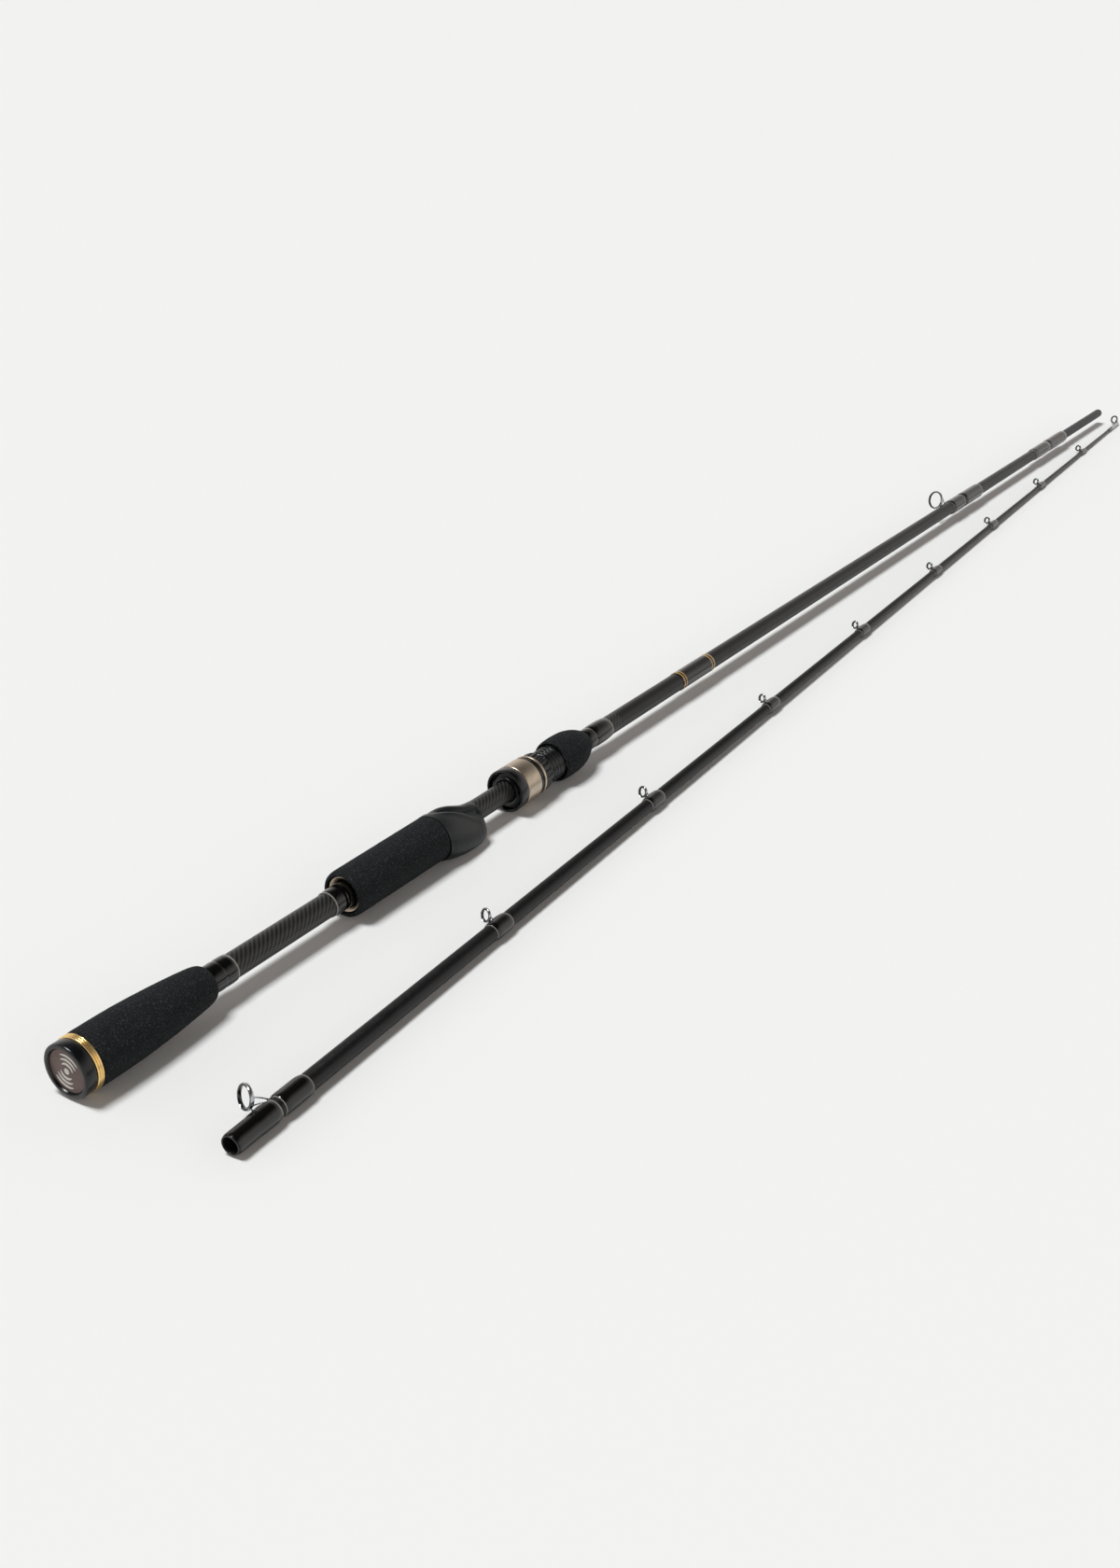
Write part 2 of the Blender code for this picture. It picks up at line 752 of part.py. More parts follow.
def make_tip_top(section):
    """The last guide: a ring on a tube that slips over the end of the blank."""
    start, end = TIP_TUBE
    radius = 3.8
    height = 4.4
    station = TIP_LENGTH + 2.2
    frame = make_ring("tip_top", section, station, height, radius, 1.4)
    inside = tip_radius(start) + FIT
    tube = turned(
        "tip_top_tube_tool",
        section,
        [(start + 2, inside + 0.45), (TIP_LENGTH + 1.6, inside + 0.45), (TIP_LENGTH + 1.6, 0)],
        [(start + 2, inside), (TIP_LENGTH + 0.2, inside), (TIP_LENGTH + 0.2, 0)],
        sides=TIP_SIDES,
        cutter=True,
    )
    combine(frame, tube, "UNION")
    for side in (-1, 1):
        angle = math.radians(70)
        out = side * radius * math.sin(angle)
        down = radius * math.cos(angle)
        target = (height - down * math.cos(LEAN), out, station - down * math.sin(LEAN))
        low = (inside + 0.25, side * 0.3, TIP_LENGTH - 7)
        brace = strut(f"tip_top_brace_tool_{side + 1}", section, low, target, 0.35)
        combine(frame, brace, "UNION")
    wrap("tip_top_wrap", section, TIP_BLANK, start - 6, start + 1.6, 0.45, TIP_SIDES)


# -------------------------------------------------------------------- assembly


def make_butt_section():
    section = make_section("butt_section", (0, 0, BUTT_AXIS_HEIGHT), 0, BUTT_TILT)
    make_butt_end(section)
    make_butt_blank(section)
    make_rear_handle(section)
    make_seat_body(section)
    make_barrel(section)
    make_hood(section)
    make_foregrip(section)
    make_stripper(section)
    make_ferrule_wrap(section)
    return section


def make_tip_section():
    """The section lies on its guides' wraps, which all stand out from the taper by the same amount."""
    height = tip_radius(0) + WRAP_BULGE + TIP_FLOOR_GAP
    drop = tip_radius(0) - tip_radius(TIP_LENGTH)
    tilt = math.degrees(math.asin(drop / TIP_LENGTH))
    section = make_section("tip_section", (*TIP_MOUTH, height), TIP_HEADING, tilt)
    make_tip_blank(section)
    make_ferrule_guide(section)
    for index, (station, diameter) in enumerate(SINGLE_GUIDES, start=2):
        make_single_guide(index, section, station, diameter)
    make_tip_top(section)
    return section


def stand_on_origin(sections):
    """Move both sections together, so that the origin is under the middle of the object's box."""
    bpy.context.view_layer.update()
    graph = bpy.context.evaluated_depsgraph_get()
    low = Vector((1e9, 1e9, 1e9))
    high = -low
    for obj in PARTS.objects:
        if obj.type == "EMPTY":
            continue
        evaluated = obj.evaluated_get(graph)
        mesh = evaluated.to_mesh()
        for vertex in mesh.vertices:
            place = evaluated.matrix_world @ vertex.co
            low = Vector(map(min, low, place))
            high = Vector(map(max, high, place))
        evaluated.to_mesh_clear()
    shift = Vector(((low.x + high.x) / 2, (low.y + high.y) / 2, low.z))
    for section in sections:
        section.location -= shift
    bpy.context.view_layer.update()


stand_on_origin([make_butt_section(), make_tip_section()])
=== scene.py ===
"""The looks of the two-piece casting rod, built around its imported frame.

Each section has its own frame: +Z runs along it from its butt end to its tip end, +X is the side of the
line guides, and the trigger is on -X. Lengths in these frames are millimetres. A station is a distance
along +Z. A taper or a profile is a list of (station, radius), straight from one to the next.
"""
import json
import math

import bmesh
import bpy
from mathutils import Matrix, Vector


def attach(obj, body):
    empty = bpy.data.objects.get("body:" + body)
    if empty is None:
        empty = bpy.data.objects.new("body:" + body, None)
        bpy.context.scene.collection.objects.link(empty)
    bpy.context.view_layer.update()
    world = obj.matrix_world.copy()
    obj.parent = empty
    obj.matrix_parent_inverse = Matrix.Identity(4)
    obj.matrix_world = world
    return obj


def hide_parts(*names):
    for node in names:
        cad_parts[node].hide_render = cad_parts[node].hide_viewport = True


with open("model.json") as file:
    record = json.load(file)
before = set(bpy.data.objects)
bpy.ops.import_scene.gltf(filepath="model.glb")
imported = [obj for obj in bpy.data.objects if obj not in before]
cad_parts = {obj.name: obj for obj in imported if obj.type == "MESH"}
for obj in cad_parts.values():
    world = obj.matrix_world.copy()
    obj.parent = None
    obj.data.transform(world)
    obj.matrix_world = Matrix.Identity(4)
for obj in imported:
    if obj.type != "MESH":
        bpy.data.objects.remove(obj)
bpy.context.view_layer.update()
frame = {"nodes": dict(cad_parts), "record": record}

MM = 0.001

# The camera stands this far from the middle of the butt cap's face, in millimetres.
CAMERA_OFFSET = (-403.3, -523.6, 444.9)
CAMERA_YAW, CAMERA_PITCH, CAMERA_ROLL = (math.radians(v) for v in (34.03, 26.36, -0.26))
CAMERA_LENS = 41.57

PLACE = "section_place"  # the mesh attribute that holds each point's place in its section's frame
SHARP = math.radians(40)  # an edge that bends more than this stays sharp
HANDLE_SIDES = 96
SEAT_SIDES = 128
NUT_SIDES = 240
TIP_SIDES = 48

# How far two mounts' points lie off their sections' axes, on the guides' side.
CAP_RIM, MOUTH_RIM = 11.7, 4.37
GUIDE_ROLL = math.radians(56)  # the guides' side of a section is this far from straight up, to the left
LEAN = math.radians(25)  # of the guides' rings, towards the tip
BUTT_BLANK = [(0, 6.6), (300, 5.95), (430, 5.75), (1123, 4.38), (1190, 4.33)]
TIP_BLANK = [(0, 4.7), (1282, 0.9)]
WEAVE_END = 430.0
THREAD_PITCH = 3.0
# Each guide with one foot: where its ring stands, and the ring's diameter.
SINGLE_GUIDES = [
    (199.4, 7.6), (357.7, 6.9), (510.5, 6.0), (657.3, 5.8), (798.0, 5.8), (925.0, 5.8), (1048.6, 5.8),
    (1169.0, 5.8),
]


def section_frame(axis, point, offset):
    """A section's matrix, from its axis and a point `offset` millimetres off it on the guides' side."""
    axis = axis.normalized()
    left = Vector((0, 0, 1)).cross(axis).normalized()
    upward = axis.cross(left)
    guides = upward * math.cos(GUIDE_ROLL) + left * math.sin(GUIDE_ROLL)
    side = axis.cross(guides)
    turn = Matrix((guides, side, axis)).transposed().to_4x4()
    return Matrix.Translation(point - guides * offset * MM) @ turn


MOUNTS = {mount["name"]: mount for mount in frame["record"]["mounts"]}
CAP = MOUNTS["butt_cap_rim"]
MOUTH = MOUNTS["ferrule_mouth"]
BUTT = section_frame(-Vector(CAP["axis"]), Vector(CAP["pos_m"]), CAP_RIM)
TIP = section_frame(-Vector(MOUTH["axis"]), Vector(MOUTH["pos_m"]), MOUTH_RIM)


# ------------------------------------------------------------------- materials


def rgb(code):
    """Linear colour of an sRGB hex code."""
    values = [int(code[i : i + 2], 16) / 255 for i in (0, 2, 4)]
    return [v / 12.92 if v <= 0.04045 else ((v + 0.055) / 1.055) ** 2.4 for v in values] + [1.0]


class Finish:
    """A material whose patterns are measured in millimetres.

    Framed ones lie in the section's frame, through the attribute PLACE, and others in the piece's own.
    """

    def __init__(self, name, colour, roughness, metallic=0.0, framed=True, **sockets):
        self.material = bpy.data.materials.new(name)
        self.material.use_nodes = True
        self.tree = self.material.node_tree
        self.shader = self.tree.nodes["Principled BSDF"]
        self.shader.inputs["Base Color"].default_value = rgb(colour)
        self.shader.inputs["Roughness"].default_value = roughness
        self.shader.inputs["Metallic"].default_value = metallic
        for socket, value in sockets.items():
            self.shader.inputs[socket.replace("_", " ")].default_value = value
        if framed:
            self.place = self.node("ShaderNodeAttribute", attribute_name=PLACE).outputs["Vector"]
        else:
            place = self.node("ShaderNodeTexCoord")
            scale = self.node("ShaderNodeVectorMath", operation="SCALE")
            scale.inputs["Scale"].default_value = 1 / MM
            self.link(place.outputs["Object"], scale.inputs[0])
            self.place = scale.outputs[0]
        split = self.node("ShaderNodeSeparateXYZ")
        self.link(self.place, split.inputs[0])
        self.x, self.y, self.z = split.outputs

    def node(self, kind, **settings):
        node = self.tree.nodes.new(kind)
        for name, value in settings.items():
            setattr(node, name, value)
        return node

    def link(self, source, target):
        self.tree.links.new(source, target)

    def feed(self, socket, value):
        """Give a socket a number, a hex colour or what another socket puts out."""
        if isinstance(value, str):
            socket.default_value = rgb(value)
        elif isinstance(value, (int, float)):
            socket.default_value = value
        else:
            self.link(value, socket)

    def calc(self, operation, *values):
        node = self.node("ShaderNodeMath", operation=operation)
        for socket, value in zip(node.inputs, values):
            self.feed(socket, value)
        return node.outputs[0]

    def wave(self, value, pitch):
        """A sine that repeats every `pitch`."""
        return self.calc("SINE", self.calc("MULTIPLY", value, 2 * math.pi / pitch))

    def turned_lines(self, fineness):
        """Noise that varies only along the section: the lines that a lathe leaves."""
        along = self.node("ShaderNodeCombineXYZ")
        self.feed(along.inputs["Z"], self.calc("MULTIPLY", self.z, fineness))
        return self.noise(1.0, 3.0, along.outputs[0])

    def noise(self, scale, detail=2.0, place=None):
        node = self.node("ShaderNodeTexNoise")
        node.inputs["Scale"].default_value = scale
        node.inputs["Detail"].default_value = detail
        self.link(place or self.place, node.inputs["Vector"])
        return node.outputs["Fac"]

    def angle(self):
        return self.calc("ARCTAN2", self.y, self.x)

    def mix(self, factor, first, second):
        """A colour between two others. Each is a hex code or a colour socket."""
        node = self.node("ShaderNodeMix", data_type="RGBA")
        self.link(factor, node.inputs[0])
        self.feed(node.inputs[6], first)
        self.feed(node.inputs[7], second)
        return node.outputs[2]

    def spread(self, value, low, high, to_low=0.0, to_high=1.0):
        """Map low..high to to_low..to_high, and hold the ends beyond them."""
        node = self.node("ShaderNodeMapRange")
        for socket, given in zip(list(node.inputs)[1:5], (low, high, to_low, to_high)):
            socket.default_value = given
        self.link(value, node.inputs[0])
        return node.outputs[0]

    def colour(self, source):
        self.link(source, self.shader.inputs["Base Color"])

    def rough(self, source):
        self.link(source, self.shader.inputs["Roughness"])

    def bump(self, height, depth):
        """Raise the surface by up to `depth` millimetres where height is 1."""
        node = self.node("ShaderNodeBump")
        node.inputs["Distance"].default_value = depth * MM
        self.link(height, node.inputs["Height"])
        if self.shader.inputs["Normal"].is_linked:
            self.link(self.shader.inputs["Normal"].links[0].from_socket, node.inputs["Normal"])
        self.link(node.outputs[0], self.shader.inputs["Normal"])


def foam():
    """Closed-cell foam: matt, with fine pits and faint mottling."""
    look = Finish("eva_foam_look", "101214", 0.93, Specular_IOR_Level=0.18)
    grain = look.noise(1.5, 3.0)
    cells = look.noise(1.3, 2.0)
    mottle = look.noise(0.09, 2.0)
    speck = look.spread(cells, 0.52, 0.72)
    tone = look.calc("MULTIPLY_ADD", mottle, 0.35, look.calc("MULTIPLY", speck, 0.8))
    look.colour(look.mix(tone, "060708", "363a3d"))
    look.rough(look.spread(mottle, 0.3, 0.7, 0.85, 0.98))
    look.bump(grain, 0.22)
    look.bump(cells, 0.10)
    return look.material


def twill(look, radius, tow):
    """A 2/2 twill round a tube: 1 where a tow runs one way, 0 where it runs the other."""
    across = look.calc("FLOOR", look.calc("MULTIPLY", look.angle(), radius / tow))
    along = look.calc("FLOOR", look.calc("MULTIPLY", look.z, 1 / tow))
    step = look.calc("FRACT", look.calc("MULTIPLY", look.calc("ADD", across, along), 0.25))
    return look.calc("LESS_THAN", step, 0.5)


def blank_gloss(look):
    """A gloss that varies a little from place to place."""
    look.rough(look.spread(look.noise(0.6, 3.0), 0.3, 0.7, 0.30, 0.42))


def butt_carbon():
    """Woven carbon up to WEAVE_END, then a matt wound blank with faint tape lines."""
    look = Finish("butt_carbon_look", "202021", 0.34, Specular_IOR_Level=0.34)
    weave = twill(look, 6.0, 0.75)
    zone = look.spread(look.z, WEAVE_END - 0.2, WEAVE_END + 0.2)
    woven = look.mix(weave, "0d0d0d", "373735")
    plain = look.mix(look.noise(0.05, 2.0), "0b0b0c", "161617")
    look.colour(look.mix(zone, woven, plain))
    look.bump(look.calc("MULTIPLY", weave, look.calc("SUBTRACT", 1.0, zone)), 0.02)
    look.bump(look.calc("MULTIPLY", look.wave(look.z, 1.6), zone), 0.004)
    blank_gloss(look)
    return look.material


def tip_carbon():
    """A matt blank with faint tape lines."""
    look = Finish("tip_carbon_look", "1b1b1c", 0.34, Specular_IOR_Level=0.34)
    look.colour(look.mix(look.noise(0.05, 2.0), "0b0b0c", "171718"))
    look.bump(look.wave(look.z, 1.4), 0.004)
    blank_gloss(look)
    return look.material


def spigot_finish():
    """Ground carbon: dark grey, with fine lines round it."""
    look = Finish("spigot_look", "2e2e30", 0.6)
    lines = look.turned_lines(9)
    look.colour(look.mix(lines, "222224", "424246"))
    look.bump(lines, 0.02)
    return look.material


def thread(name, colour, second):
    """Thread under clear epoxy: ridges below, a smooth glossy coat above."""
    coat = {"Coat_Weight": 1.0, "Coat_Roughness": 0.04, "Coat_IOR": 1.5}
    look = Finish(name, colour, 0.4, Specular_IOR_Level=0.04, **coat)
    ridges = look.wave(look.z, 0.3)
    look.colour(look.mix(look.spread(ridges, -1, 1), colour, second))
    look.bump(ridges, 0.002)
    return look.material


def brushed(name, dark, light, roughness, spread=0.08):
    """Metal turned on a lathe: fine lines round it."""
    look = Finish(name, light, roughness, 1.0)
    lines = look.turned_lines(7)
    look.colour(look.mix(look.noise(0.25, 2.0), dark, light))
    look.rough(look.spread(lines, 0.3, 0.7, roughness - spread, roughness + spread))
    look.bump(lines, 0.006)
    return look.material


def moulded(name, dark, light, low, high, grain=0.02, **sockets):
    """Moulded plastic: a fine even grain and a faint variation in gloss."""
    look = Finish(name, light, (low + high) / 2, **sockets)
    look.colour(look.mix(look.noise(0.12, 2.0), dark, light))
    look.rough(look.spread(look.noise(0.5, 3.0), 0.3, 0.7, low, high))
    look.bump(look.noise(4.0, 1.0), grain)
    return look.material


def badge_finish():
    """A brown disc with fine turned rings."""
    look = Finish("badge_look", "5a4844", 0.42, 0.35)
    squares = [look.calc("POWER", value, 2) for value in (look.x, look.y)]
    far = look.calc("SQRT", look.calc("ADD", *squares))
    look.colour(look.mix(look.noise(0.3, 3.0), "4c3b38", "66524d"))
    look.bump(look.wave(far, 0.45), 0.006)
    return look.material


FOAM = foam()
BUTT_CARBON = butt_carbon()
TIP_CARBON = tip_carbon()
SPIGOT = spigot_finish()
THREAD = thread("black_thread_look", "020202", "060606")
PALE_THREAD = thread("pale_thread_look", "77746f", "918e87")
GOLD_THREAD = thread("gold_thread_look", "8f6a2e", "d0a860")
SEAT = moulded("soft_touch_look", "0f1315", "1a1f21", 0.32, 0.42, Specular_IOR_Level=0.32)
BLACK = moulded(
    "black_plastic_look", "050608", "0b0d10", 0.20, 0.30, 0.006, Specular_IOR_Level=0.42
)
CHAMPAGNE = brushed("champagne_look", "ab9c89", "cabdab", 0.32)
GOLD = brushed("gold_look", "e3b866", "fbe3ac", 0.22, 0.05)
GUNMETAL = brushed("gunmetal_look", "9c9fa5", "cfd2d6", 0.22, 0.06)
CERAMIC = moulded("ceramic_look", "0c0d10", "1a1c20", 0.10, 0.16, 0.003, Coat_Weight=0.6)
BADGE = badge_finish()
MARK = moulded("mark_look", "b4b1ab", "c9c6c0", 0.40, 0.50, 0.004)
ARBOR = moulded("arbor_look", "3a3a3a", "4a4a4a", 0.60, 0.75, framed=False)


# -------------------------------------------------------------------- geometry


def polar(radius, angle, station):
    return (radius * math.cos(angle), radius * math.sin(angle), station)


def angles(sides):
    return [2 * math.pi * i / sides for i in range(sides)]


def circle(radius, station, sides):
    return [polar(radius, angle, station) for angle in angles(sides)]


class Shape:
    """Closed shells gathered in one mesh. Points are millimetres in a section's frame."""

    def __init__(self):
        self.points = []
        self.faces = []

    def grid(self, rings, loop=False):
        """Skin a run of rings with equal numbers of points. A loop joins the last to the first."""
        base = len(self.points)
        count = len(rings[0])
        for ring in rings:
            self.points.extend(ring)
        last = len(rings) - 1
        pairs = [(k, k + 1) for k in range(last)]
        if loop:
            pairs.append((last, 0))
        for low, high in pairs:
            for i in range(count):
                j = (i + 1) % count
                corners = (low * count + i, low * count + j, high * count + j, high * count + i)
                self.faces.append([base + c for c in corners])
        if not loop:
            self.faces.append([base + i for i in reversed(range(count))])
            self.faces.append([base + last * count + i for i in range(count)])
        return self

    def torus(self, ring, radius, radial, axial, sides=56, round_sides=14):
        """A ring of elliptical section. `ring` maps (outward, sideways, along) to the section."""
        rings = []
        for turn in angles(sides):
            loop = []
            for lean in angles(round_sides):
                far = radius + radial * math.cos(lean)
                outward, sideways = far * math.cos(turn), far * math.sin(turn)
                loop.append(ring(outward, sideways, axial * math.sin(lean)))
            rings.append(loop)
        return self.grid(rings, loop=True)

    def bar(self, path, sizes, sides=12):
        """A bar along a path. sizes holds its half width and half thickness at each point."""
        rings = []
        for index, place in enumerate(path):
            following, previous = path[min(index + 1, len(path) - 1)], path[max(index - 1, 0)]
            ahead = (Vector(following) - Vector(previous)).normalized()
            wide = Vector((0, 1, 0)) - ahead * ahead.y
            wide.normalize()
            thick = ahead.cross(wide)
            half_width, half_thickness = sizes[index]
            loop = []
            for turn in angles(sides):
                offset = wide * half_width * math.cos(turn)
                offset += thick * half_thickness * math.sin(turn)
                loop.append(tuple(Vector(place) + offset))
            rings.append(loop)
        return self.grid(rings)

    def strip(self, path, half_width, half_thickness):
        return self.bar(path, [(half_width, half_thickness)] * len(path))


def radius_at(taper, station):
    """The radius of a taper or a profile at a station."""
    for (start, first), (end, last) in zip(taper, taper[1:]):
        if station <= end:
            return first + (last - first) * (station - start) / (end - start)
    return taper[-1][1]


def softened(outline, steps=5):
    """Round the corners of a closed outline of (station, radius) or (station, radius, rounding)."""
    points = []
    for index, place in enumerate(outline):
        here = Vector(place[:2])
        if len(place) < 3:
            points.append(tuple(here))
            continue
        before = Vector(outline[index - 1][:2]) - here
        after = Vector(outline[(index + 1) % len(outline)][:2]) - here
        reach = min(place[2], before.length * 0.48, after.length * 0.48)
        start = here + before.normalized() * reach
        end = here + after.normalized() * reach
        for k in range(steps + 1):
            t = k / steps
            points.append(tuple(start * (1 - t) ** 2 + here * 2 * t * (1 - t) + end * t**2))
    return points


def turn_outline(outline, sides):
    """The shell that a closed outline sweeps round the section's axis."""
    return Shape().grid([circle(radius, station, sides) for station, radius in outline], loop=True)


def record_place(mesh, section):
    """Write each point's place in its section's frame, in millimetres, for the materials to read."""
    if PLACE in mesh.attributes:
        mesh.attributes.remove(mesh.attributes[PLACE])
    layer = mesh.attributes.new(PLACE, "FLOAT_VECTOR", "POINT")
    back = section.inverted()
    for vertex, value in zip(mesh.vertices, layer.data):
        value.vector = (back @ vertex.co) / MM


def piece(name, shape, section, material, body, stands_for=()):
    """Make one visible piece, put it in its section's frame and hang it on its body."""
    mesh = bpy.data.meshes.new(name)
    mesh.from_pydata([[c * MM for c in point] for point in shape.points], [], shape.faces)
    work = bmesh.new()
    work.from_mesh(mesh)
    bmesh.ops.remove_doubles(work, verts=work.verts, dist=1e-7)
    bmesh.ops.dissolve_degenerate(work, edges=work.edges, dist=1e-7)
    bmesh.ops.recalc_face_normals(work, faces=work.faces)
    work.to_mesh(mesh)
    work.free()
    mesh.transform(section)
    record_place(mesh, section)
    mesh.materials.append(material)
    mesh.shade_smooth()
    mesh.set_sharp_from_angle(angle=SHARP)
    obj = bpy.data.objects.new(name, mesh)
    bpy.context.scene.collection.objects.link(obj)
    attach(obj, body)
    if stands_for:
        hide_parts(*stands_for)
    return obj


def turned(node, section, outline, material, body, sides=HANDLE_SIDES):
    """The look of a node that is round all over."""
    shape = turn_outline(softened(outline), sides)
    return piece(node + "_look", shape, section, material, body, [node])


def trim(name, section, taper, start, width, lift, material, body, sides=HANDLE_SIDES):
    """A narrow band of coloured thread, as at a wrap's end."""
    low = radius_at(taper, start) + 0.06
    high = radius_at(taper, start) + lift
    outline = [(start, low), (start, high, 0.15), (start + width, high, 0.15), (start + width, low)]
    shape = turn_outline(softened(outline), sides)
    return piece(name, shape, section, material, body)


def cut(obj, section, low, high):
    """Cut a box, in a section's millimetres, out of a piece."""
    mesh = bpy.data.meshes.new("cutter")
    work = bmesh.new()
    size = Vector([(b - a) * MM for a, b in zip(low, high)])
    middle = Vector([(a + b) / 2 * MM for a, b in zip(low, high)])
    bmesh.ops.create_cube(work, size=1.0, matrix=Matrix.LocRotScale(middle, None, size))
    work.to_mesh(mesh)
    work.free()
    cutter = bpy.data.objects.new("cutter", mesh)
    bpy.context.scene.collection.objects.link(cutter)
    cutter.matrix_world = section
    boolean = obj.modifiers.new("cut", "BOOLEAN")
    boolean.operation = "DIFFERENCE"
    boolean.solver = "EXACT"
    boolean.object = cutter
    bpy.context.view_layer.update()
    graph = bpy.context.evaluated_depsgraph_get()
    made = bpy.data.meshes.new_from_object(obj.evaluated_get(graph))
    obj.modifiers.clear()
    obj.data = made
    bpy.data.objects.remove(cutter)
    record_place(made, section)
    made.shade_smooth()
    made.set_sharp_from_angle(angle=SHARP)


def smooth_step(value):
    value = min(1.0, max(0.0, value))
    return value * value * (3 - 2 * value)


def coat(node, section, taper, ends, outside, body, sides, foot):
    """Thread under clear coat from one end to the other. outside(station) gives its radius.

    foot is (start, end, half angle, height) of a guide's foot that the thread covers, or None.
    """
    start, end = ends
    count = max(16, int((end - start) * 1.6))
    rings = []
    for k in range(count + 1):
        station = start + (end - start) * k / count
        full = outside(station)
        ring = []
        for angle in angles(sides):
            radius = full
            if foot:
                foot_start, foot_end, half_angle, height = foot
                off = (angle + math.pi) % (2 * math.pi) - math.pi
                along = smooth_step((station - foot_start) / 1.5)
                along *= smooth_step((foot_end - station) / 3)
                radius += height * along * math.exp(-((off / half_angle) ** 2))
            ring.append(polar(radius, angle, station))
        rings.append(ring)
    for station in (end, start):
        rings.append(circle(radius_at(taper, station) + 0.05, station, sides))
    shape = Shape().grid(rings, loop=True)
    return piece(node + "_look", shape, section, THREAD, body, [node])


def wrap(node, section, taper, start, end, bulge, body, sides=HANDLE_SIDES, foot=None):
    """A wrap that is thin at its ends and stands `bulge` off the blank between them."""
    edge = min(3.5, (end - start) / 3)

    def outside(station):
        near = min(station - start, end - station) / edge
        swell = 1.0 if near >= 1 else 0.22 + 0.78 * math.sqrt(max(0.0, 1 - (1 - near) ** 2))
        return radius_at(taper, station) + bulge * swell

    return coat(node, section, taper, (start, end), outside, body, sides, foot)


def shaped_wrap(node, section, taper, profile, body, sides=HANDLE_SIDES, foot=None):
    """A wrap with a profile of its own."""
    ends = (profile[0][0], profile[-1][0])

    def outside(station):
        return radius_at(profile, station)

    return coat(node, section, taper, ends, outside, body, sides, foot)


# ---------------------------------------------------------------- butt section


def ripple_mark():
    """A generic mark for the cap's disc: two facing sets of curved bars with a dot between them."""
    top, floor = 0.92, 1.02
    shape = turn_outline([(floor, 0), (floor, 1.5), (top, 1.5), (top, 0)], 32)
    steps = 24
    for radius, reach in ((3.7, 62), (5.9, 50), (8.1, 40)):
        for middle in (75, 255):
            rings = []
            for k in range(steps + 1):
                angle = math.radians(middle - reach + 2 * reach * k / steps)
                half_width = 0.62 * math.sqrt(max(0.04, 1 - (2 * k / steps - 1) ** 2))
                inside, outside = radius - half_width, radius + half_width
                corners = ((inside, top), (outside, top), (outside, floor), (inside, floor))
                rings.append([polar(far, angle, station) for far, station in corners])
            shape.grid(rings)
    return shape


def make_butt_end():
    """The cap with its disc and mark, the gold ring, the butt grip and the wrap ahead of it."""
    outline = [
        (0, 11.2, 0.35), (0, 12.5), (0.12, 12.8), (0.4, 13.05), (0.9, 13.2), (5.6, 13.2), (6.05, 13.0),
        (6.2, 12.6), (6.2, 4.6), (40, 4.6), (40, 0), (2.3, 0), (2.3, 10.68), (1.0, 10.68), (0.9, 10.72),
        (0.35, 11.0),
    ]
    turned("butt_cap", BUTT, outline, BLACK, "root")
    outline = [(1.02, 0), (1.02, 10.1), (1.1, 10.45), (1.5, 10.6), (2.2, 10.6), (2.2, 0)]
    turned("butt_cap_disc", BUTT, outline, BADGE, "root")
    piece("butt_cap_mark", ripple_mark(), BUTT, MARK, "root")
    outline = [(6.3, 6.7)]
    for bead in (6.3, 7.5, 8.7):
        for k in range(9):
            t = k / 8
            outline.append((bead + 0.06 + 1.08 * t, 13.02 + 0.58 * math.sin(math.pi * t) ** 0.6))
    outline.append((9.9, 6.7))
    turned("gold_ring", BUTT, outline, GOLD, "root")
    outline = [
        (10.1, 6.68), (10.1, 13.2, 0.4), (11.2, 13.62), (13, 13.7), (24, 13.66), (34, 13.5), (45, 13.0),
        (56, 12.3), (64, 11.65), (71, 11.0), (76, 10.45), (79, 10.05), (81, 9.65), (82.5, 9.15),
        (83.4, 8.5), (83.85, 7.8), (84, 7.2), (84, 6.5),
    ]
    turned("butt_grip", BUTT, outline, FOAM, "root")
    profile = [
        (84.3, 6.9), (86, 7.08), (90.5, 7.15), (91.6, 6.95), (93, 7.1), (97, 7.1), (98.4, 6.85),
        (99, 6.55),
    ]
    shaped_wrap("wrap_butt_grip", BUTT, BUTT_BLANK, profile, "root")
    trim("trim_butt_grip", BUTT, BUTT_BLANK, 98.4, 0.8, 0.52, PALE_THREAD, "root")


def make_blank():
    """The butt section's blank, and the spigot that stands out of it."""
    end, radius = BUTT_BLANK[-1]
    outline = [(8, 4.7), (8, 6.58), *BUTT_BLANK[1:-1], (end, radius, 0.2)]
    outline += [(end, 3.78), (1107.7, 3.78), (1102, 3.2), (430, 4.7)]
    turned("butt_blank", BUTT, outline, BUTT_CARBON, "root")
    outline = [
        (1108, 0), (1108, 3.5), (1110, 3.7), (1190, 3.7), (1285.6, 3.62), (1287.2, 3.3), (1287.8, 2.9),
        (1288, 2.5), (1288, 0),
    ]
    turned("spigot", BUTT, outline, SPIGOT, "root")


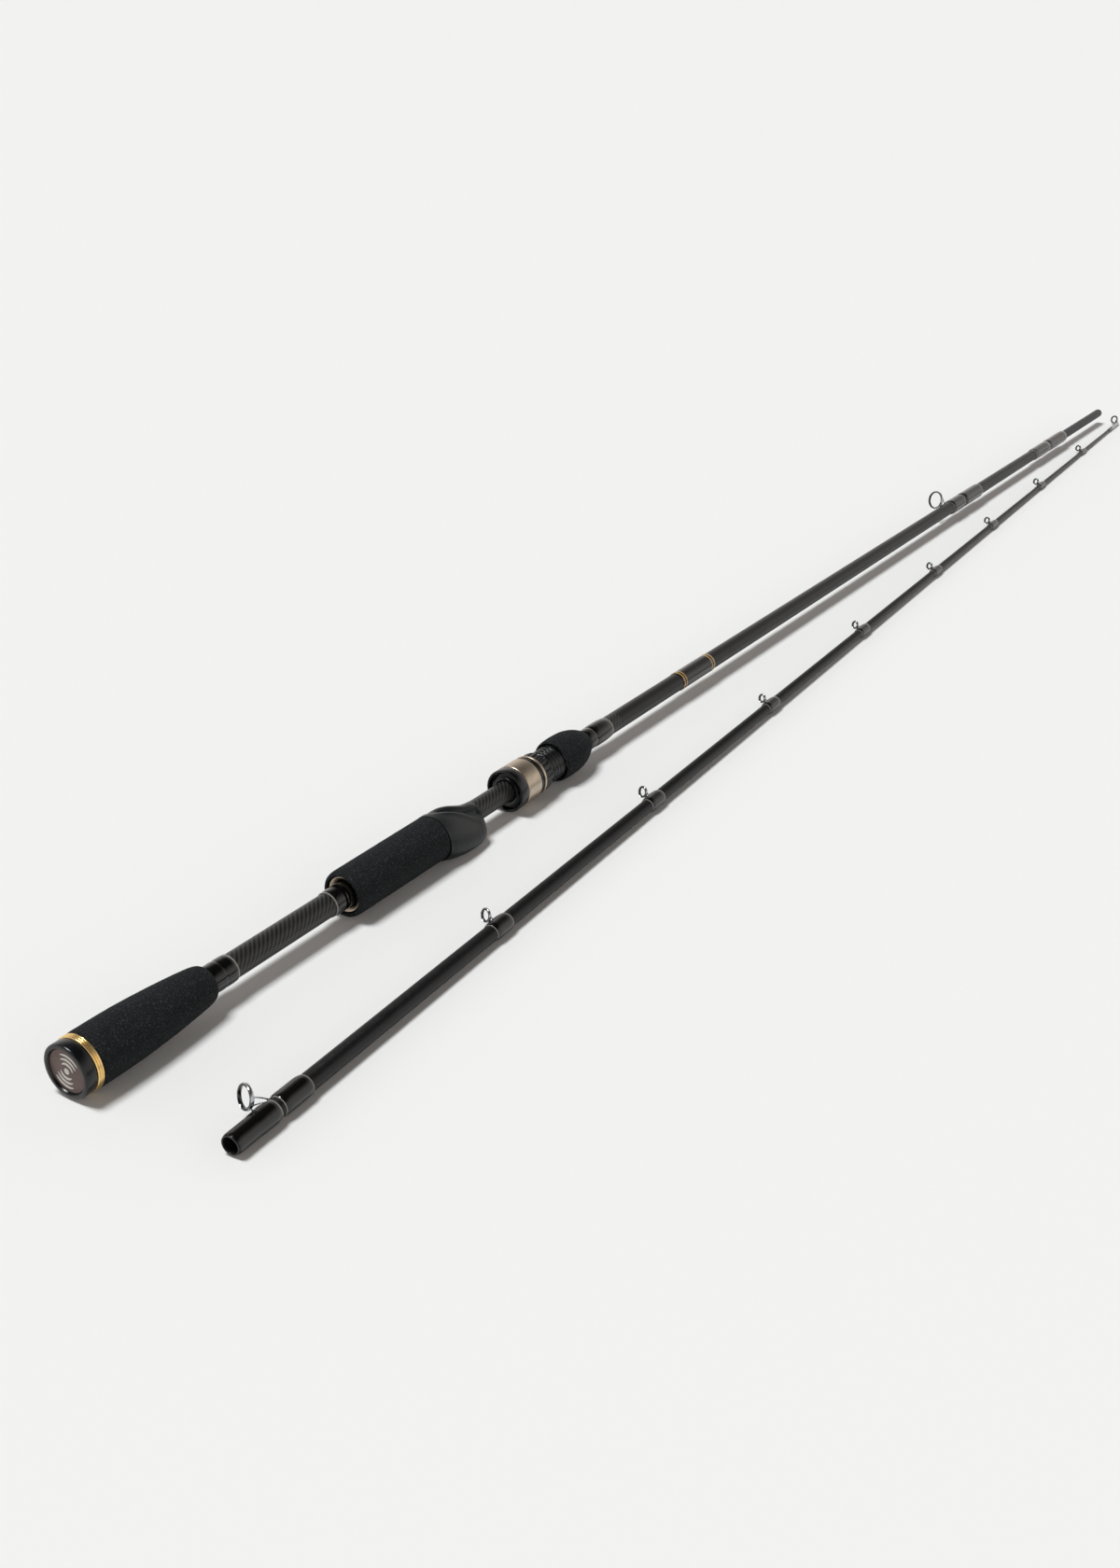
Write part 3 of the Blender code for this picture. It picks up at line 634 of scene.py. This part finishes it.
def make_rear_handle():
    """The wrap behind the rear grip, the ring let into the grip's rear face, and the grip."""
    profile = [
        (168.5, 6.4), (169.2, 6.75), (171, 6.9), (175, 6.95), (176.2, 6.75), (177.5, 6.95), (181, 6.9),
        (182, 6.5),
    ]
    shaped_wrap("wrap_rear_grip", BUTT, BUTT_BLANK, profile, "root")
    trim("trim_rear_grip", BUTT, BUTT_BLANK, 168.2, 0.8, 0.5, PALE_THREAD, "root")
    outline = [(184.6, 7.4), (182.2, 7.4, 0.3), (180.8, 9.25, 0.5), (181.1, 9.68, 0.2), (184.6, 9.7)]
    turned("winding_check", BUTT, outline, CHAMPAGNE, "root")
    outline = [
        (184.9, 6.33), (184.9, 10.0), (180.0, 10.0, 0.3), (179.4, 10.55, 0.3), (179.75, 11.5),
        (180.6, 12.1), (182, 12.45), (184, 12.6), (215, 12.62), (250.8, 12.6, 0.3), (251.8, 12.3),
        (251.8, 6.25),
    ]
    turned("rear_grip", BUTT, outline, FOAM, "root")


SEAT_START, SEAT_END = 252.1, 287.5
SEAT_SECTIONS = [  # station, top radius, half width and bottom radius
    (SEAT_START, 12.7, 12.5, 13.6),
    (256.0, 12.9, 12.3, 15.2),
    (261.0, 12.8, 11.7, 16.4),
    (266.0, 12.3, 10.8, 17.1),
    (271.0, 11.1, 9.8, 17.3),
    (275.0, 9.3, 9.0, 17.2),
    (279.0, 7.5, 8.3, 16.7),
    (282.5, 6.8, 7.8, 15.6),
    (285.3, 6.6, 7.2, 13.0),
    (286.8, 6.5, 6.7, 8.6),
    (SEAT_END, 6.5, 6.5, 6.5),
]
SOCKET_END = 263.5  # the seat's wide rear bore, for its bush, ends here
LIP_HEIGHT, LIP_WIDTH = 0.07, 0.13
VALLEY_DEPTH, VALLEY_WIDTH, VALLEY_OFFSET = 0.30, 0.20, 0.34


def smooth_table(rows, station):
    """Values at a station, on smooth runs through the rows that don't overshoot them."""
    index = 0
    while index < len(rows) - 2 and station > rows[index + 1][0]:
        index += 1

    def slope(k, column):
        if k <= 0 or k >= len(rows) - 1:
            return 0.0
        before = (rows[k][column] - rows[k - 1][column]) / (rows[k][0] - rows[k - 1][0])
        after = (rows[k + 1][column] - rows[k][column]) / (rows[k + 1][0] - rows[k][0])
        return 2 * before * after / (before + after) if before * after > 0 else 0.0

    low, high = rows[index], rows[index + 1]
    run = high[0] - low[0]
    t = min(1.0, max(0.0, (station - low[0]) / run))
    values = []
    for column in range(1, len(low)):
        value = low[column] * (2 * t**3 - 3 * t**2 + 1) + high[column] * (3 * t**2 - 2 * t**3)
        bend = slope(index, column) * (t**3 - 2 * t**2 + t)
        bend += slope(index + 1, column) * (t**3 - t**2)
        values.append(value + run * bend)
    return values


def seat_ring(station):
    """One section of the seat body.

    A valley on each side parts the saddle from the trigger's lobe, with a lip along the lobe's edge. Both
    run from high on the seat's rear end to low at its front.
    """
    top, half_width, bottom = smooth_table(SEAT_SECTIONS, station)
    narrowing = 0.55 * max(0.0, (bottom - top) / bottom)
    fade = smooth_step((station - 254) / 14) * smooth_step((287 - station) / 5)
    edge = -0.58 + 1.15 * smooth_step((station - 251) / 38)
    least = 9.3 if station < 264.5 else 6.55
    ring = []
    for angle in angles(SEAT_SIDES):
        reach = top if math.cos(angle) > 0 else bottom
        below = -math.cos(angle)
        keel = max(0.0, below) ** 2
        x = reach * math.cos(angle)
        y = half_width * math.sin(angle) * (1 - narrowing * keel)
        lip = math.exp(-(((below - edge) / LIP_WIDTH) ** 2))
        valley = math.exp(-(((below - edge + VALLEY_OFFSET) / VALLEY_WIDTH) ** 2))
        scale = 1 + fade * (LIP_HEIGHT * lip - VALLEY_DEPTH * valley)
        scale = max(scale, least / math.hypot(x, y))
        ring.append((x * scale, y * scale, station))
    return ring


def make_seat():
    """The seat body, with the pocket for the rear end of a reel's foot cut into its front."""
    steps = 90
    rings = [seat_ring(SEAT_START + (SEAT_END - SEAT_START) * k / steps) for k in range(steps + 1)]
    bore, socket = 6.2, 8.6
    inside = ((SEAT_END, bore), (SOCKET_END, bore), (SOCKET_END, socket), (SEAT_START, socket))
    rings += [circle(radius, station, SEAT_SIDES) for station, radius in inside]
    shape = Shape().grid(rings, loop=True)
    body = piece("seat_body_look", shape, BUTT, SEAT, "root", ["seat_body"])
    cut(body, BUTT, (5.2, -4.75, 266.0), (10.3, 4.75, 292.5))


BARREL_START, THREAD_START, THREAD_END, BARREL_END = 319.4, 329, 365.2, 366
BARREL_RADIUS, ROOT_RADIUS, THREAD_DEPTH = 10.1, 9.3, 0.8


def barrel_radius(station, angle):
    """The barrel's thread: one crest for each turn, with flat tops and sloping flanks."""
    if station < THREAD_START:
        return BARREL_RADIUS
    if station > THREAD_END:
        return ROOT_RADIUS
    turn = ((station - 330) / THREAD_PITCH - angle / (2 * math.pi)) % 1.0
    crest = smooth_step((turn - 0.08) / 0.26) * smooth_step((0.92 - turn) / 0.26)
    run_in = smooth_step((station - THREAD_START) / 2)
    return BARREL_RADIUS - THREAD_DEPTH * (1 - crest) * run_in


def make_barrel():
    """The threaded barrel, with the keyway of a reel's foot cut into its rear end."""
    step = 0.25
    rounding = [(BARREL_START, 0.6), (319.45, 0.35), (319.6, 0.15), (319.9, 0.0)]
    plain = [320.5 + 8.5 * k / 6 for k in range(7)]
    first = THREAD_START + step
    threaded = [first + step * k for k in range(int((BARREL_END - first) / step) + 1)]
    rings = []
    for station, trimmed in rounding + [(station, 0.0) for station in plain + threaded]:
        ring = []
        for angle in angles(HANDLE_SIDES):
            ring.append(polar(barrel_radius(station, angle) - trimmed, angle, station))
        rings.append(ring)
    inside = [
        (BARREL_END, 7.6), (334, 7.6), (334, 6.0), (319.2, 6.0), (318.3, 6.5), (318.1, 7.0), (318.1, 8.1),
        (318.3, 8.3), (318.9, 8.4), (318.9, 9.0), (BARREL_START, 9.2),
    ]
    rings += [circle(radius, station, HANDLE_SIDES) for station, radius in inside]
    shape = Shape().grid(rings, loop=True)
    name = "threaded_barrel"
    body = piece(name + "_look", shape, BUTT, BLACK, "root", [name])
    cut(body, BUTT, (8.6, -4.35, 315.5), (13.0, 4.35, 331.0))


def make_hood():
    """The sliding hood, its wide collar and its narrow ring."""
    outline = [
        (317.8, 11.35, 0.15), (317.8, 11.75, 0.25), (318.1, 12.15), (318.8, 12.3), (324.0, 12.3),
        (324.3, 12.15), (324.4, 11.0), (336.9, 11.0), (336.95, 11.3), (340.3, 11.3), (340.4, 11.0),
        (342, 11.0), (342, 10.35), (321.3, 10.35), (321.3, 10.8, 0.1), (318.5, 10.8, 0.2),
    ]
    turned("hood", BUTT, outline, BLACK, "hood")
    outline = [
        (324.5, 11.06), (324.5, 12.05, 0.2), (324.9, 12.3, 0.3), (336.3, 12.3, 0.3), (336.8, 12.05, 0.2),
        (336.8, 11.06),
    ]
    turned("hood_collar", BUTT, outline, CHAMPAGNE, "hood")
    outline = [(340.5, 11.06), (340.5, 11.9, 0.3), (341.2, 12.15, 0.4), (342, 11.9, 0.3), (342, 11.06)]
    turned("hood_ring", BUTT, outline, CHAMPAGNE, "hood")


def make_nut():
    """The lock nut, with rounded ribs that fade into bevels at both ends."""
    start, end = 342.3, 348.8
    outer, bore = 11.4, 10.35
    rib_count, rib_depth = 20, 0.55
    bevel_width, bevel_depth = 0.9, 0.45
    steps = 22
    rings = []
    for k in range(steps + 1):
        station = start + (end - start) * k / steps
        near = min(station - start, end - station)
        rise = 1 - min(1.0, near / bevel_width)
        bevel = bevel_depth * (1 - math.sqrt(1 - rise**2))
        depth = rib_depth * smooth_step((near - 0.3) / 0.5)
        ring = []
        for angle in angles(NUT_SIDES):
            wave = 0.5 + 0.5 * math.cos(angle * rib_count)
            groove = depth * (1 - smooth_step((wave - 0.15) / 0.5))
            ring.append(polar(outer - bevel - groove, angle, station))
        rings.append(ring)
    for station, radius in ((end, 10.5), (end - 0.4, bore), (start, bore)):
        rings.append(circle(radius, station, NUT_SIDES))
    shape = Shape().grid(rings, loop=True)
    piece("lock_nut_look", shape, BUTT, BLACK, "lock_nut", ["lock_nut"])


def make_foregrip():
    """The foregrip, the wrap ahead of it and the decorated wrap further up."""
    outline = [
        (367.5, 6.0), (367.5, 10.7), (363.8, 10.7, 0.3), (363.2, 11.3, 0.4), (363.7, 11.85), (364.8, 12.2),
        (367.2, 12.48), (370, 12.58), (373, 12.6), (377, 12.5), (380, 12.3), (383, 11.85), (386, 11.15),
        (388.5, 10.35), (390.5, 9.55), (392.2, 8.75), (393.8, 7.95), (395, 7.2), (396, 6.5), (396, 5.95),
    ]
    turned("foregrip", BUTT, outline, FOAM, "root")
    profile = [
        (396.3, 6.15), (397, 6.38), (398.5, 6.48), (401.6, 6.45), (402.6, 6.2), (403.4, 6.3), (404.6, 6.6),
        (407, 6.72), (412, 6.72), (415.5, 6.6), (418, 6.35), (419.4, 6.1), (420, 5.92),
    ]
    shaped_wrap("wrap_foregrip", BUTT, BUTT_BLANK, profile, "root")
    trim("trim_foregrip", BUTT, BUTT_BLANK, 419.3, 0.9, 0.42, PALE_THREAD, "root")
    wrap("wrap_decor", BUTT, BUTT_BLANK, 502.3, 542.3, 0.42, "root")
    for number, start in enumerate((503.2, 505.6, 537.6, 540.2), start=1):
        trim(f"trim_decor_{number}", BUTT, BUTT_BLANK, start, 1.1, 0.44, GOLD_THREAD, "root")


def make_ferrule_wrap():
    """The long wrap at the end of the butt blank, where the spigot is let in."""
    profile = [
        (1114.5, 4.62), (1115.3, 4.95), (1117.5, 5.12), (1142, 5.08), (1145, 4.9), (1147, 4.68),
        (1149, 4.9), (1151, 5.15), (1184, 5.16), (1187, 5.0), (1188.6, 4.75), (1189, 4.58),
    ]
    shaped_wrap("wrap_male_ferrule", BUTT, BUTT_BLANK, profile, "root")
    for number, (start, lift) in enumerate(((1114.2, 0.42), (1146.6, 0.42), (1187.9, 0.55)), start=1):
        name = f"trim_male_ferrule_{number}"
        trim(name, BUTT, BUTT_BLANK, start, 0.9, lift, PALE_THREAD, "root")


# ---------------------------------------------------------------------- guides


def ring_place(height, station):
    """A map from a leaning ring's own (outward, sideways, along) to its section's frame."""

    def place(outward, sideways, along):
        x = height + outward * math.cos(LEAN) - along * math.sin(LEAN)
        z = station + outward * math.sin(LEAN) + along * math.cos(LEAN)
        return (x, sideways, z)

    return place


def make_ring(shape, name, section, body, place, radius, depth):
    """Add a guide's metal ring to its frame's shape, and make the hard ring inside it."""
    band = 0.62
    shape.torus(place, radius - band / 2, band / 2, depth / 2)
    insert = Shape().torus(place, radius - band - 0.36, 0.40, depth * 0.56)
    node = name + "_insert"
    piece(node + "_look", insert, section, CERAMIC, body, [node])


def ring_side(place, far, degrees, side, along=0):
    """A point on a leaning ring, `degrees` round from its lowest point to one side."""
    angle = math.radians(degrees)
    return place(-far * math.cos(angle), side * far * math.sin(angle), along)


def foot_strap(shape, taper, start, end, half_width, steps=14):
    """A guide's foot: a thin strap that lies along the blank and tapers at its end."""
    path, sizes = [], []
    for k in range(steps + 1):
        station = start + (end - start) * k / steps
        narrow = 1.0 if k < steps * 0.6 else 1.0 - 0.55 * (k / steps - 0.6) / 0.4
        path.append((radius_at(taper, station) + 0.29, 0, station))
        sizes.append((half_width * narrow, 0.18))
    shape.bar(path, sizes)


def curve_between(start, middle, end, steps=10):
    """Points along a curve from start to end that leans towards the middle point."""
    start, middle, end = Vector(start), Vector(middle), Vector(end)
    path = []
    for k in range(steps + 1):
        t = k / steps
        path.append(tuple(start * (1 - t) ** 2 + middle * 2 * t * (1 - t) + end * t**2))
    return path


def tip_trim(name, start, width, lift):
    trim(name, TIP, TIP_BLANK, start, width, lift, PALE_THREAD, "tip_section", TIP_SIDES)


def make_single_guide(number, station, diameter):
    """A small ring on one foot, with a neck behind the ring and two legs ahead of it."""
    name = f"guide_{number}"
    radius = diameter / 2
    height = radius_at(TIP_BLANK, station) + radius * math.cos(LEAN) + 0.95
    place = ring_place(height, station)
    bottom = station - radius * math.sin(LEAN)
    half_width = 0.13 * diameter
    shape = Shape()
    make_ring(shape, name, TIP, "tip_section", place, radius, 1.2)
    foot_strap(shape, TIP_BLANK, bottom - 0.7, station + 4.5, half_width)
    low = radius_at(TIP_BLANK, bottom) + 0.25
    neck = ((low, 0, bottom + 1.6), (low + 0.5, 0, bottom + 0.1), place(0.25 - radius, 0, 0))
    shape.strip(curve_between(*neck), half_width * 0.8, 0.3)
    for side in (-1, 1):
        top = ring_side(place, radius - 0.3, 42, side)
        aside = side * (half_width * 0.5 + abs(top[1])) / 2
        middle = ((low + top[0]) / 2 + 0.1, aside, station + 0.2)
        base = (low, side * half_width * 0.5, station + 1.2)
        shape.strip(curve_between(base, middle, top), 0.26, 0.26)
    node = name + "_frame"
    piece(node + "_look", shape, TIP, GUNMETAL, "tip_section", [node])
    foot = (bottom, station + 5.5, 0.42, 0.22)
    start, end = station - 6.5, station + 7.5
    wrap(name + "_wrap", TIP, TIP_BLANK, start, end, 0.78, "tip_section", TIP_SIDES, foot)
    for letter, edge in (("a", start - 0.15), ("b", end - 0.55)):
        tip_trim(f"trim_{name}_{letter}", edge, 0.7, 0.30)


def make_tall_frame(name, section, body, taper, ring, span, brace_station, half_width):
    """A tall ring on a long foot, held by a neck behind and two legs ahead of it.

    ring is the ring's (station, height, diameter), and span is the foot's two ends.
    """
    station, height, diameter = ring
    radius = diameter / 2
    place = ring_place(height, station)
    shape = Shape()
    make_ring(shape, name, section, body, place, radius, 1.7)
    foot_strap(shape, taper, *span, half_width, 24)
    bottom = station - radius * math.sin(LEAN)
    low = radius_at(taper, bottom) + 0.28
    neck = ((low, 0, bottom + 1.2), (low + 0.6, 0, bottom - 0.1), place(0.35 - radius, 0, 0))
    shape.strip(curve_between(*neck), half_width * 0.62, 0.34)
    for side in (-1, 1):
        top = ring_side(place, radius - 0.25, 58, side, 0.2)
        base = (radius_at(taper, brace_station) + 0.35, side * half_width * 0.55, brace_station)
        x, y, z = ((a + b) / 2 for a, b in zip(base, top))
        shape.strip(curve_between(base, (x + 0.25, y * 1.1, z + 0.35), top, 12), 0.36, 0.36)
    node = name + "_frame"
    piece(node + "_look", shape, section, GUNMETAL, body, [node])


def make_stripper():
    """The butt section's only guide. Two wraps hold its long foot."""
    ring, span = (926.0, 11.7, 14.2), (921.0, 984.0)
    make_tall_frame("stripper", BUTT, "root", BUTT_BLANK, ring, span, 930.4, 1.15)
    foot = (925, 988, 0.32, 0.25)
    wrap("stripper_wrap_rear", BUTT, BUTT_BLANK, 931.8, 954.8, 0.93, "root", foot=foot)
    wrap("stripper_wrap_front", BUTT, BUTT_BLANK, 956.2, 990.5, 0.93, "root", foot=foot)
    for number, start in enumerate((931.6, 953.9, 956.2, 989.6), start=1):
        trim(f"trim_stripper_{number}", BUTT, BUTT_BLANK, start, 0.9, 0.34, PALE_THREAD, "root")


# ----------------------------------------------------------------- tip section


def make_tip_blank():
    """The tip section's blank: hollow, with a ferrule's socket at its butt end."""
    outline = [
        (0, 4.02, 0.1), (0, 4.62), (0.25, 4.72), TIP_BLANK[-1], (1282, 0), (902, 0), (900, 1.1),
        (102, 3.18), (100, 3.78), (1.0, 3.78),
    ]
    turned("tip_blank", TIP, outline, TIP_CARBON, "tip_section", TIP_SIDES)


def make_ferrule_guide():
    """The tip section's first guide, whose foot starts under the ferrule's wrap."""
    ring, span = (22.1, 11.8, 12.0), (17.0, 44.5)
    make_tall_frame("guide_1", TIP, "tip_section", TIP_BLANK, ring, span, 29.2, 0.95)
    profile = [
        (0.6, 4.9), (1.2, 5.12), (2.2, 5.2), (14, 5.22), (18, 5.4), (22, 5.44), (25.4, 5.4), (27, 5.1),
        (27.6, 4.85),
    ]
    node = "wrap_female_ferrule"
    foot = (19.5, 31, 0.34, 0.25)
    shaped_wrap(node, TIP, TIP_BLANK, profile, "tip_section", TIP_SIDES, foot)
    tip_trim("trim_female_ferrule", 26.9, 0.9, 0.40)
    foot = (27, 48, 0.34, 0.25)
    wrap("guide_1_wrap", TIP, TIP_BLANK, 30.6, 48.8, 0.78, "tip_section", TIP_SIDES, foot)
    tip_trim("trim_guide_1_a", 30.4, 0.8, 0.32)
    tip_trim("trim_guide_1_b", 48.1, 0.8, 0.32)


def make_tip_top():
    """The last ring, on a short tube over the blank's end."""
    radius = 3.8
    place = ring_place(4.4, 1284.2)
    shape = Shape()
    make_ring(shape, "tip_top", TIP, "tip_section", place, radius, 1.4)
    tube = softened([(1260, 1.06), (1260, 1.48, 0.15), (1282.6, 1.46, 0.5), (1283.6, 1.0, 0.3), (1283.6, 0)])
    tube += [(1282.2, 0), (1282.2, 1.02)]
    shape.grid([circle(far, station, 32) for station, far in tube], loop=True)
    for side in (-1, 1):
        top = ring_side(place, radius - 0.2, 70, side)
        base = (1.3, side * 0.4, 1274.6)
        x, y, z = ((a + b) / 2 for a, b in zip(base, top))
        shape.strip(curve_between(base, (x + 0.4, y, z), top), 0.34, 0.34)
    node = "tip_top_frame"
    piece(node + "_look", shape, TIP, GUNMETAL, "tip_section", [node])
    wrap("tip_top_wrap", TIP, TIP_BLANK, 1252.0, 1259.6, 0.45, "tip_section", TIP_SIDES)
    tip_trim("trim_tip_top", 1251.9, 0.7, 0.24)


# ----------------------------------------------------------------------- stage


def make_floor():
    """A plain pale floor, far wider than the rod, just below it."""
    half, drop = 60.0, 0.0001
    mesh = bpy.data.meshes.new("floor")
    corners = [(-half, -half, 0), (half, -half, 0), (half, half, 0), (-half, half, 0)]
    mesh.from_pydata(corners, [], [(0, 1, 2, 3)])
    floor = bpy.data.objects.new("floor", mesh)
    floor.location.z = -drop
    bpy.context.scene.collection.objects.link(floor)
    paper = bpy.data.materials.new("floor_paper")
    paper.use_nodes = True
    shader = paper.node_tree.nodes["Principled BSDF"]
    shader.inputs["Base Color"].default_value = (0.86, 0.855, 0.85, 1)
    shader.inputs["Roughness"].default_value = 0.9
    shader.inputs["Specular IOR Level"].default_value = 0.1
    mesh.materials.append(paper)


def make_sky():
    """A sky that is bright low down and dark above, so that glossy black stays dark on top."""
    world = bpy.data.worlds.new("studio")
    world.use_nodes = True
    tree = world.node_tree
    place = tree.nodes.new("ShaderNodeTexCoord")
    split = tree.nodes.new("ShaderNodeSeparateXYZ")
    ramp = tree.nodes.new("ShaderNodeValToRGB")
    tree.links.new(place.outputs["Generated"], split.inputs[0])
    tree.links.new(split.outputs["Z"], ramp.inputs[0])
    tree.links.new(ramp.outputs[0], tree.nodes["Background"].inputs[0])
    low, high = ramp.color_ramp.elements
    low.position, low.color = 0.28, (0.95, 0.90, 0.86, 1)
    high.position, high.color = 0.72, (0.035, 0.032, 0.030, 1)
    bpy.context.scene.world = world


def make_softbox():
    """One soft light from high above, a little to the left and behind."""
    sun = bpy.data.lights.new("softbox", "SUN")
    sun.energy = 2.6
    sun.color = (0.97, 1.0, 1.0)
    sun.angle = math.radians(20)
    lamp = bpy.data.objects.new("softbox", sun)
    towards = Vector((-0.14, 0.30, 1.0))
    lamp.matrix_world = towards.to_track_quat("Z", "Y").to_matrix().to_4x4()
    bpy.context.scene.collection.objects.link(lamp)


def make_camera():
    """The camera, from its offset and its three turns."""
    yaw, pitch, roll = CAMERA_YAW, CAMERA_PITCH, CAMERA_ROLL
    flat = math.cos(pitch)
    ahead = Vector((math.cos(yaw) * flat, math.sin(yaw) * flat, -math.sin(pitch)))
    level = Vector((math.sin(yaw), -math.cos(yaw), 0))
    above = level.cross(ahead)
    right = math.cos(roll) * level + math.sin(roll) * above
    up = -math.sin(roll) * level + math.cos(roll) * above
    data = bpy.data.cameras.new("camera")
    data.sensor_width = 36
    data.lens = CAMERA_LENS
    data.clip_start = 0.01
    camera = bpy.data.objects.new("camera", data)
    place = Matrix.Translation(BUTT.translation + Vector(CAMERA_OFFSET) * MM)
    camera.matrix_world = place @ Matrix((right, up, -ahead)).transposed().to_4x4()
    bpy.context.scene.collection.objects.link(camera)
    bpy.context.scene.camera = camera


make_camera()
make_floor()
make_sky()
make_softbox()
bpy.context.scene.view_settings.view_transform = "Standard"
make_butt_end()
make_blank()
make_rear_handle()
make_seat()
make_barrel()
make_hood()
make_nut()
make_foregrip()
make_ferrule_wrap()
make_stripper()
make_tip_blank()
make_ferrule_guide()
for guide, (where, across) in enumerate(SINGLE_GUIDES, start=2):
    make_single_guide(guide, where, across)
make_tip_top()
# The two bushes are out of sight inside the handle, so they keep their plain solids.
for hidden in ("seat_bush", "barrel_bush"):
    materials = frame["nodes"][hidden].data.materials
    materials.clear()
    materials.append(ARBOR)
